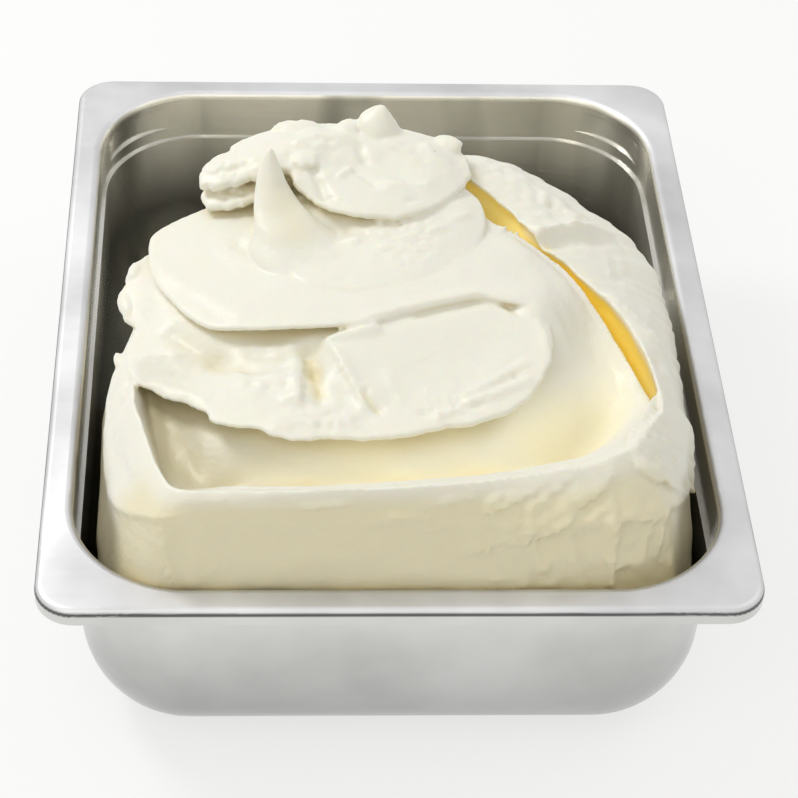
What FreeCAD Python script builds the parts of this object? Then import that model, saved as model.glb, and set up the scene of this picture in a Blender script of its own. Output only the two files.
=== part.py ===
import FreeCAD, Part
import math
import os
from FreeCAD import Vector

# Pan: half-size gastronorm tray of pressed stainless sheet.
# Origin on the floor under the middle of the pan, +X across, +Y to the back, +Z up.
rim_width = 265.0        # outer edge to outer edge along X
rim_length = 325.0       # outer edge to outer edge along Y
pan_height = 100.0       # floor to the rim's inner edge, before that edge is rounded
sheet = 0.8
rim_corner_r = 14.8      # rim's outer corners in plan
rim_reach = 12.0         # outer edge of the rim to the inside of the wall
rim_fall = 1.0           # how much the flat of the rim falls on its way out
rim_edge_r = 3.0         # rolled outer edge
mouth_edge_r = 3.0       # rounded edge between wall and rim
lip_drop = 7.7           # turned-down lip
wall_corner_r = 42.7     # inside corners in plan
floor_edge_r = 40.8      # inside edge between wall and floor
shoulder_depth = 24.0    # rim to the step in the wall
shoulder_step = 1.2      # how far the wall steps in below it
lug_depth = 17.5         # stacking lugs, pressed out in the four corners
lug_reach = 1.3
lug_half_angle = 25.0
lug_top_gap = 7.0        # lug's upper end to the rim's top

# Gelato: one block, spread in layers that lap over each other like a scroll.
side_gap = 8.2           # block to the side walls
front_gap = 0.4          # block to the front wall
back_gap = 62.0          # block to the back wall, at the height of the rim
pan_gap = 0.3            # least distance to any wall of the pan
block_corners = {"fl": 30.0, "fr": 30.0, "bl": 90.0, "br": 60.0}
block_top_drop = 4.0     # rim to where the block's sides start to round over
columns = 48             # control columns round the gelato
top_disc_r = 5.0

# Each layer's edge at twelve bearings, every 30 degrees from +X round by the back.
# inset: edge to the block's side, or reach: edge to the layer's centre, all in mm.
# rise: edge above the rim; drop: edge above what lies under it.
shoulder = {
    "centre": (0, -30),
    "inset": (1, 20, 30, 18, 25, 20, 4, 1, 3, 2, 3, 3),
    "rise": (15, 23, 30, 16, 15, 12, 10, 0, 5, 9, 5, 9),
    "drop": (0, 0, 0, 0, 0, 0, 0, 0, 0, 0, 0, 0),
}
crest = {
    "centre": (0, -30),
    "inset": (31, 61, 49, 30, 37, 27, 9, 17, 13, 11, 24, 22),
    "rise": (33, 32, 29, 26, 24, 22, 26, 28, 36, 39, 39, 36),
    "drop": (0, 0, 0, 0, 0, 0, 0, 0, 0, 0, 0, 0),
}
tongue = {
    "centre": (-20, -30),
    "reach": (75, 74, 74, 80, 80, 77, 81, 88, 86, 83, 89, 88),
    "rise": (41, 38, 36, 32, 32, 34, 29, 30, 37, 39, 41, 45),
    "drop": (16, 7, 3, 2, 2, 2, 6, 14, 19, 21, 24, 24),
}
swoosh = {
    "centre": (-20, -10),
    "reach": (64, 56, 56, 60, 62, 64, 76, 72, 60, 53, 52, 71),
    "rise": (48, 50, 46, 45, 43, 41, 38, 41, 46, 49, 51, 51),
    "drop": (4, 2, 2, 2, 2, 2, 5, 8, 9, 9, 8, 6),
}
cap = {
    "centre": (-22, 20),
    "reach": (52, 47, 34, 28, 32, 42, 56, 43, 31, 26, 30, 40),
    "rise": (52, 56, 61, 62, 60, 57, 51, 52, 55, 56, 57, 55),
    "drop": (7, 6, 5, 5, 5, 6, 8, 9, 8, 7, 8, 9),
}
cap_top = {"centre": (-20, 25), "rise": 65.0}
lip_overhang = 2.5       # how far a lip reaches out over its own foot
least_inset = 8.0        # no lip comes nearer to the block's side than this

# Peak drawn up at the front left of the cap: points x, y, rise of its middle line, and its radii.
peak_line = ((-36, -2, 42), (-41, 0, 54), (-46, 6, 65), (-48, 12, 72))
peak_radii = (19, 12, 6.5, 1.6)


def rounded_outline(half_x, half_y, corner_r, z):
    # closed wire: a rectangle with round corners, level at z
    cx, cy = half_x - corner_r, half_y - corner_r
    slant = corner_r * math.sqrt(0.5)
    corners = ((cx, cy, 1, 1), (-cx, cy, -1, 1), (-cx, -cy, -1, -1), (cx, -cy, 1, -1))
    edges = []
    last = Vector(half_x, -cy, z)
    for x, y, sx, sy in corners:
        on_x = Vector(x + sx * corner_r, y, z)
        on_y = Vector(x, y + sy * corner_r, z)
        first, end = (on_x, on_y) if sx * sy > 0 else (on_y, on_x)
        edges.append(Part.LineSegment(last, first).toShape())
        middle = Vector(x + sx * slant, y + sy * slant, z)
        edges.append(Part.Arc(first, middle, end).toShape())
        last = end
    return Part.Wire(edges)


def block_between(outline_low, outline_high):
    return Part.makeLoft([outline_low, outline_high], True, True)


def fillet_level_edges(solid, z, radius, reach=0.02):
    # rounds every edge that lies level at z
    level = [e for e in solid.Edges if abs(e.BoundBox.ZMin - z) < reach and abs(e.BoundBox.ZMax - z) < reach]
    return solid.makeFillet(radius, level)


def wall_solid(grow):
    # what the wall's inside surface encloses, grown outwards and down by a distance
    half_x = rim_width / 2 - rim_reach + grow
    half_y = rim_length / 2 - rim_reach + grow
    corner = wall_corner_r + grow
    step_z = pan_height - shoulder_depth - grow
    floor_z = sheet - grow
    top = pan_height + 2 * mouth_edge_r
    narrow = shoulder_step
    low = block_between(
        rounded_outline(half_x - narrow, half_y - narrow, corner - narrow, floor_z),
        rounded_outline(half_x - narrow, half_y - narrow, corner - narrow, step_z + narrow / 2),
    )
    low = fillet_level_edges(low, floor_z, floor_edge_r + grow)
    high = block_between(
        rounded_outline(half_x, half_y, corner, step_z),
        rounded_outline(half_x, half_y, corner, top),
    )
    return low.fuse(high).fuse(lug_solids(grow)).removeSplitter()


def lug_solids(grow):
    # four shallow cylinders that bulge through the corners of the wall
    radius = wall_corner_r + grow
    gain = 2 * radius * lug_reach + lug_reach ** 2
    shift = gain / (2 * radius * (1 - math.cos(math.radians(lug_half_angle))) + 2 * lug_reach)
    lug_r = radius + lug_reach - shift
    low_z = pan_height - lug_depth - grow
    high_z = pan_height - lug_top_gap
    lugs = []
    for sx in (-1, 1):
        for sy in (-1, 1):
            x = sx * (rim_width / 2 - rim_reach - wall_corner_r + shift * math.sqrt(0.5))
            y = sy * (rim_length / 2 - rim_reach - wall_corner_r + shift * math.sqrt(0.5))
            lug = Part.makeCylinder(lug_r, high_z - low_z, Vector(x, y, low_z))
            taper = Part.makeCone(lug_r, lug_r - 2 * lug_reach, 2 * lug_reach, Vector(x, y, high_z))
            lugs.append(lug.fuse(taper))
    return lugs[0].fuse(lugs[1:])


def rim_solid(shrink):
    # the rim as a full slab: flat falling outwards, rolled edge, straight lip
    half_x = rim_width / 2 - shrink
    half_y = rim_length / 2 - shrink
    corner = rim_corner_r - shrink
    mouth_x = rim_width / 2 - rim_reach
    mouth_y = rim_length / 2 - rim_reach
    top = pan_height - shrink
    edge_z = top - rim_fall
    low_z = pan_height - lip_drop - (shrink and mouth_edge_r)
    slab = block_between(
        rounded_outline(half_x, half_y, corner, low_z),
        rounded_outline(half_x, half_y, corner, edge_z),
    )
    slope = block_between(
        rounded_outline(half_x, half_y, corner, edge_z),
        rounded_outline(mouth_x, mouth_y, wall_corner_r, top),
    )
    solid = slab.fuse(slope).removeSplitter()
    return fillet_level_edges(solid, edge_z, rim_edge_r - shrink)


def make_pan():
    inside = wall_solid(0.0)
    outside = wall_solid(sheet)
    # the wall stops half way up the rim's slab, which takes over from there
    join_z = pan_height - lip_drop / 2
    over = Part.makeBox(rim_width, rim_length, pan_height, Vector(-rim_width / 2, -rim_length / 2, join_z))
    solid = rim_solid(0.0).fuse(outside.cut(over))
    solid = round_mouth(solid.cut(inside), 0.0)
    under = round_mouth(rim_solid(sheet).cut(outside), sheet)
    return solid.cut(under).removeSplitter().Solids[0]


def round_mouth(solid, grow):
    # rounds the edge where the wall meets the rim, on the top side or on the underside
    half_x = rim_width / 2 - rim_reach + grow
    half_y = rim_length / 2 - rim_reach + grow
    z = pan_height - grow
    near = rim_fall * sheet / rim_reach + 0.05
    mouth = []
    for edge in solid.Edges:
        box = edge.BoundBox
        level = abs(box.ZMin - z) < near and abs(box.ZMax - z) < near
        if level and box.XMax < half_x + near and box.XMin > -half_x - near:
            if box.YMax < half_y + near and box.YMin > -half_y - near:
                mouth.append(edge)
    return solid.makeFillet(mouth_edge_r - grow, mouth)


def around(values, angle):
    # smooth closed curve through evenly spaced values, at an angle in degrees
    count = len(values)
    place = angle % 360 / 360 * count
    k = int(place)
    t = place - k
    a, b, c, d = (values[(k + n) % count] for n in (-1, 0, 1, 2))
    bend = 2 * a - 5 * b + 4 * c - d
    twist = 3 * (b - c) + d - a
    return b + 0.5 * t * (c - a + t * (bend + t * twist))


def rounded_reach(low_x, high_x, low_y, high_y, corners, centre, angle):
    # distance from centre to the side of a rectangle with round corners
    c, s = math.cos(math.radians(angle)), math.sin(math.radians(angle))
    cx, cy = centre
    side_x = (high_x if c > 0 else low_x) - cx
    side_y = (high_y if s > 0 else low_y) - cy
    reach = min(side_x / c if abs(c) > 1e-9 else 1e9, side_y / s if abs(s) > 1e-9 else 1e9)
    x, y = cx + reach * c, cy + reach * s
    right, back = x > (low_x + high_x) / 2, y > (low_y + high_y) / 2
    r = corners[("b" if back else "f") + ("r" if right else "l")]
    kx = high_x - r if right else low_x + r
    ky = high_y - r if back else low_y + r
    past_x = x > kx if right else x < kx
    past_y = y > ky if back else y < ky
    if past_x and past_y:
        along = (cx - kx) * c + (cy - ky) * s
        off = (cx - kx) ** 2 + (cy - ky) ** 2 - r * r
        reach = math.sqrt(max(along * along - off, 0)) - along
    return reach


def pan_reach(z, centre, angle):
    # distance from centre to the pan's inside at height z
    half_x = rim_width / 2 - rim_reach
    half_y = rim_length / 2 - rim_reach
    corner = wall_corner_r
    if z < pan_height - shoulder_depth:
        half_x, half_y, corner = (v - shoulder_step for v in (half_x, half_y, corner))
    up = max(floor_edge_r - max(z - sheet, 0), 0)
    back = floor_edge_r - math.sqrt(floor_edge_r ** 2 - up ** 2)
    corner = max(corner - back, 0)
    corners = {"fl": corner, "fr": corner, "bl": corner, "br": corner}
    return rounded_reach(back - half_x, half_x - back, back - half_y, half_y - back, corners, centre, angle)


def block_reach(centre, angle):
    half_x = rim_width / 2 - rim_reach - side_gap
    half_y = rim_length / 2 - rim_reach
    front = -half_y + front_gap
    return rounded_reach(-half_x, half_x, front, half_y - back_gap, block_corners, centre, angle)


def block_ring(z):
    # the block's outline at height z, kept clear of the pan
    ring = []
    for angle in bearings:
        reach = min(block_reach((0, 0), angle), pan_reach(z, (0, 0), angle) - pan_gap)
        ring.append(at_bearing((0, 0), reach, angle, z))
    return ring


def at_bearing(centre, reach, angle, z):
    a = math.radians(angle)
    return Vector(centre[0] + reach * math.cos(a), centre[1] + reach * math.sin(a), z)


def layer_ring(layer, pull_in=0.0, down=0.0):
    # a layer's edge, pulled in towards its centre and lowered by a share of its drop
    ring = []
    for angle in bearings:
        block = block_reach(layer["centre"], angle)
        if "inset" in layer:
            reach = block - around(layer["inset"], angle) - pull_in
        else:
            reach = min(around(layer["reach"], angle), block - least_inset) - pull_in
        z = pan_height + around(layer["rise"], angle) - down * around(layer["drop"], angle)
        ring.append(at_bearing(layer["centre"], reach, angle, z))
    return ring


def between(ring_a, ring_b, share, lift=0.0):
    return [a + (b - a) * share + Vector(0, 0, lift) for a, b in zip(ring_a, ring_b)]


def lapped_rings(lower, upper):
    # from one layer's edge in to the foot of the next, and over that one's lip
    start, lip = layer_ring(lower), layer_ring(upper)
    foot = layer_ring(upper, lip_overhang, 1.0)
    rings = [between(start, foot, 0.1), between(start, foot, 0.45, -1.5), between(start, foot, 0.8, -2.0)]
    rings += [foot, layer_ring(upper, 0.0, 0.45), lip]
    return rings


def gelato_rings():
    floor = sheet
    rings = [block_ring(z) for z in (floor, floor + 4, floor + 11, floor + 24, 48.0, 74.0)]
    rings.append(block_ring(pan_height - block_top_drop))
    rings.append(layer_ring(shoulder))
    rings.append(between(layer_ring(shoulder), layer_ring(crest), 0.8))
    rings.append(layer_ring(crest))
    rings += lapped_rings(crest, tongue)
    rings += lapped_rings(tongue, swoosh)
    rings += lapped_rings(swoosh, cap)
    top = [at_bearing(cap_top["centre"], top_disc_r, a, pan_height + cap_top["rise"]) for a in bearings]
    rings += [between(layer_ring(cap), top, 0.25, 1.5), between(layer_ring(cap), top, 0.7, 1.0), top]
    return rings


def make_gelato():
    surface = Part.BSplineSurface()
    rings = gelato_rings()
    rows = len(rings)
    along = list(range(rows - 2))
    ends = [4] + [1] * (rows - 4) + [4]
    surface.buildFromPolesMultsKnots(
        [[ring[k] for ring in rings] for k in range(columns)],
        [1] * (columns + 1), ends, list(range(columns + 1)), along, True, False, 3, 3,
    )
    side = surface.toShape()
    caps = []
    for row in (0, rows - 1):
        loop = surface.vIso(along[0] if row == 0 else along[-1]).toShape()
        caps.append(Part.Face(Part.Wire(loop)))
    shell = Part.Shell([side] + caps)
    mound = Part.Solid(shell)
    if mound.Volume < 0:
        mound.reverse()
    return mound.fuse(make_peak()).removeSplitter().Solids[0]


def make_peak():
    # a horn: level circles along the peak's line, lofted
    circles = []
    for (x, y, rise), radius in zip(peak_line, peak_radii):
        circle = Part.makeCircle(radius, Vector(x, y, pan_height + rise))
        circles.append(Part.Wire(circle))
    return Part.makeLoft(circles, True, False)


bearings = [360 * k / columns for k in range(columns)]
os.makedirs("parts", exist_ok=True)
for name, solid in (("pan", make_pan()), ("gelato", make_gelato())):
    print(name, "valid:", solid.isValid(), "volume mm3:", round(solid.Volume), "faces:", len(solid.Faces))
    solid.exportStep("parts/" + name + ".step")
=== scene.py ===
import math

import bpy
import numpy as np
from mathutils import Matrix, Vector, noise


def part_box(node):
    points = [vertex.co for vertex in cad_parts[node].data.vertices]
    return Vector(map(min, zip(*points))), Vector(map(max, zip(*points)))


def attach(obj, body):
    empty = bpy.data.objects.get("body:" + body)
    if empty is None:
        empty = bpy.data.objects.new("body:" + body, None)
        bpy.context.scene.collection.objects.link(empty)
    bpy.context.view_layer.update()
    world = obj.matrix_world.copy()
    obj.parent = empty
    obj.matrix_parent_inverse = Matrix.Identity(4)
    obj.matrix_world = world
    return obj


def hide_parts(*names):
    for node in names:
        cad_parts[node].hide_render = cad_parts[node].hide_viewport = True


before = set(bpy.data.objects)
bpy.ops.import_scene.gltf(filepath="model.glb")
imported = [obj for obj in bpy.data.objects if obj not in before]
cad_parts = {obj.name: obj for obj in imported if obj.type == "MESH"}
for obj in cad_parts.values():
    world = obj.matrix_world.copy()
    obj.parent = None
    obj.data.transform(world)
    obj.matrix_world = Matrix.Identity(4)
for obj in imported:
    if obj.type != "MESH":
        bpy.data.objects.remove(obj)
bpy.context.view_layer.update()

mm = 0.001
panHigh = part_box("pan")[1]
moundLow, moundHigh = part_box("gelato")
rimTop = panHigh.z / mm    # heights below are written as rises above this, in mm
print("frame loaded")


camera = {
    "place": (-53.3, -735.1, 735.0),    # mm
    "tilt": 42.85,    # degrees below level
    "turn": 3.41,    # to the right
    "roll": 2.43,
    "focal": 107.9,    # mm, with the film below
    "film": 36,
    "shift": 0.05,
    "nearest": 0.01,    # metres
}


def addCamera(values):
    data = bpy.data.cameras.new("camera")
    data.lens = values["focal"]
    data.sensor_width = values["film"]
    data.shift_x = values["shift"]
    data.clip_start = values["nearest"]
    eye = bpy.data.objects.new("camera", data)
    bpy.context.scene.collection.objects.link(eye)
    turn = Matrix.Rotation(-math.radians(values["turn"]), 4, "Z")
    tilt = Matrix.Rotation(math.radians(90 - values["tilt"]), 4, "X")
    roll = Matrix.Rotation(math.radians(values["roll"]), 4, "Z")
    eye.matrix_world = Matrix.Translation(Vector(values["place"]) * mm) @ turn @ tilt @ roll
    bpy.context.scene.camera = eye


def clearSelection():
    for thing in bpy.context.selected_objects:
        thing.select_set(False)


def pickOnly(piece):
    clearSelection()
    piece.select_set(True)
    bpy.context.view_layer.objects.active = piece


def applyAll(piece):
    pickOnly(piece)
    for modifier in list(piece.modifiers):
        bpy.ops.object.modifier_apply(modifier=modifier.name)


def wrappedGrid(name, around, up, place):
    # a grid wrapped round into a closed skin; place(bearing, share) says where each point goes,
    # share is 0 at the pole below and 1 at the pole on top
    clearSelection()
    bpy.ops.mesh.primitive_grid_add(x_subdivisions=around, y_subdivisions=up, size=2)
    skin = bpy.context.object
    skin.name = name
    mesh = skin.data
    co = np.empty(len(mesh.vertices) * 3)
    mesh.vertices.foreach_get("co", co)
    co = co.reshape(-1, 3)
    bearing = np.round((co[:, 0] + 1) / 2 * around) % around * 360 / around
    share = np.round((co[:, 1] + 1) / 2 * up) / up
    mesh.vertices.foreach_set("co", (place(bearing, share) * mm).ravel())
    mesh.update()
    bpy.ops.object.mode_set(mode="EDIT")
    bpy.ops.mesh.select_all(action="SELECT")
    bpy.ops.mesh.remove_doubles(threshold=0.004 * mm)    # closes the seam and the poles
    bpy.ops.object.mode_set(mode="OBJECT")
    return skin


def throughHeights(points, give=20):
    # smooth height function that passes near every point (x, y, rise); a larger give passes less near
    known = np.array(points, float)

    def bend(dx, dy):
        square = dx * dx + dy * dy
        return square * np.log(square + 1e-6)

    n = len(known)
    flat = np.column_stack((np.ones(n), known[:, 0], known[:, 1]))
    system = np.zeros((n + 3, n + 3))
    system[:n, :n] = bend(known[:, 0, None] - known[None, :, 0], known[:, 1, None] - known[None, :, 1])
    system[:n, :n] += np.eye(n) * give
    system[:n, n:] = flat
    system[n:, :n] = flat.T
    weights = np.linalg.solve(system, np.concatenate((known[:, 2], np.zeros(3))))

    def height(x, y):
        out = weights[n] + weights[n + 1] * x + weights[n + 2] * y
        for k in range(n):
            out = out + weights[k] * bend(x - known[k, 0], y - known[k, 1])
        return out

    return height


def outlineAbout(points, centre, soft):
    # closed line through points (x, y, ...): reach and the rest as functions of the bearing from centre
    known = np.array(points, float)
    ring = np.vstack((known, known[:1]))
    share = np.linspace(0, 1, 12, endpoint=False)[:, None]
    fine = np.vstack([ring[k] + (ring[k + 1] - ring[k]) * share for k in range(len(known))])
    angle = np.degrees(np.arctan2(fine[:, 1] - centre[1], fine[:, 0] - centre[0])) % 360
    order = np.argsort(angle)
    reach = np.hypot(fine[:, 0] - centre[0], fine[:, 1] - centre[1])
    steps = np.arange(0, 360, 0.5)
    smooth = []
    for column in [reach] + [fine[:, k] for k in range(2, fine.shape[1])]:
        line = np.interp(steps, angle[order], column[order], period=360)
        for turn in range(int(soft * soft * 8)):
            line = (np.roll(line, 1) + 2 * line + np.roll(line, -1)) / 4
        smooth.append(line)
    return lambda bearing: [np.interp(bearing, steps, line, period=360) for line in smooth]


def byBearing(pairs, bearing):
    # value at a bearing, straight between the given (bearing, value) pairs all round
    known = np.array(pairs, float)
    return np.interp(bearing, known[:, 0], known[:, 1], period=360)


def wander(bearing, seed, scale):
    # uneven closed line, about -1 to 1, with waves of several lengths
    steps, back = np.unique(bearing, return_inverse=True)
    line = np.zeros_like(steps)
    for k, a in enumerate(np.radians(steps)):
        spot = Vector((math.cos(a) * scale, math.sin(a) * scale, seed))
        line[k] = noise.fractal(spot, 0.7, 2.1, 4)
    return line[back]


def blend(t):
    # smooth step from 0 to 1
    t = np.clip(t, 0, 1)
    return t * t * (3 - 2 * t)


def blobs(x, y, marks):
    # sum of soft heights along short lines: both ends x, y, x, y, then half width and height
    out = np.zeros_like(x)
    for x0, y0, x1, y1, width, height in marks:
        dx, dy = x1 - x0, y1 - y0
        along = np.clip(((x - x0) * dx + (y - y0) * dy) / max(dx * dx + dy * dy, 1e-6), 0, 1)
        gap = np.hypot(x - x0 - along * dx, y - y0 - along * dy)
        out += height * np.exp(-((gap / width) ** 2) * 1.5)
    return out


def ledges(x, y, rows):
    # low plates: sharp along the line, raised on its left and thinning out that way;
    # both ends x, y, x, y, then how far they thin out and height
    out = np.zeros_like(x)
    for x0, y0, x1, y1, width, height in rows:
        dx, dy = x1 - x0, y1 - y0
        length = math.hypot(dx, dy)
        along = ((x - x0) * dx + (y - y0) * dy) / length
        ragged = 0.5 * np.sin(along * 1.3 + x0) + 0.3 * np.sin(along * 3.1 + y0)
        off = ((y - y0) * dx - (x - x0) * dy) / length + ragged * 0.8
        ends = blend(along / 5 + 0.3) * blend((length - along) / 5 + 0.3)
        out += height * ends * blend(off / 0.7 + 0.5) * np.exp(-np.maximum(off, 0) / width)
    return out


def roughField(x, y, size, seed):
    # uneven field, mostly between -1 and 1, with bumps about as wide as size
    random = np.random.default_rng(seed)
    out = np.zeros_like(x)
    for k in range(28):
        heading = random.uniform(0, 2 * math.pi)
        wave = 2 * math.pi / (size * 2 ** random.uniform(-1.3, 0.9))
        across = x * math.sin(heading) - y * math.cos(heading)
        bend = random.uniform(0.5, 1.5) * np.sin(across * wave * 0.37)
        along = x * math.cos(heading) + y * math.sin(heading)
        out += np.sin(along * wave + bend + random.uniform(0, 6.3))
    return out / 5


def roughen(rise, x, y, patches, seed, share=1.0):
    # adds uneven patches: middle x, y, half width, size of the bumps, height
    for px, py, width, size, height in patches:
        patch = np.exp(-(((x - px) ** 2 + (y - py) ** 2) / width ** 2) * 1.5)
        rise = rise + patch * height * roughField(x, y, size, seed) * share
    return rise


# the ribbon: chute, trough and plateau share these heights
# x, y, rise of the swept surface right of the dish and in the trough
sweptPoints = [
    (95, -86, 30), (92, -74, 27), (87, -53, 26), (80, -39, 31), (73.5, -28, 36.5), (67, -17, 38.5),
    (60.5, -10.5, 40), (52, -3, 42), (44, 0, 44), (38, 4, 46), (58, -52, 45.5), (61, -40, 43.5),
    (59, -27, 43.5), (52, -14, 45), (66, -60, 35), (68, -48, 35.5), (70, -38, 37), (74, -60, 28.5),
    (77, -50, 28.5), (72, -75, 24), (64, -88, 20), (80, -72, 23), (78, -86, 20), (86, -92, 26),
    (62, -97, 19), (48, -103, 21), (31, -111, 24), (2, -115, 24.5), (-35, -116, 24.5), (76, -100, 22),
    (60, -110, 18.5), (30, -120, 17), (0, -124, 16.5), (-36, -124, 16.5), (-62, -119, 17), (60, -117, 25),
    (30, -128, 25), (0, -132, 26), (-36, -132, 26), (-62, -128, 25),
]

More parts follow.
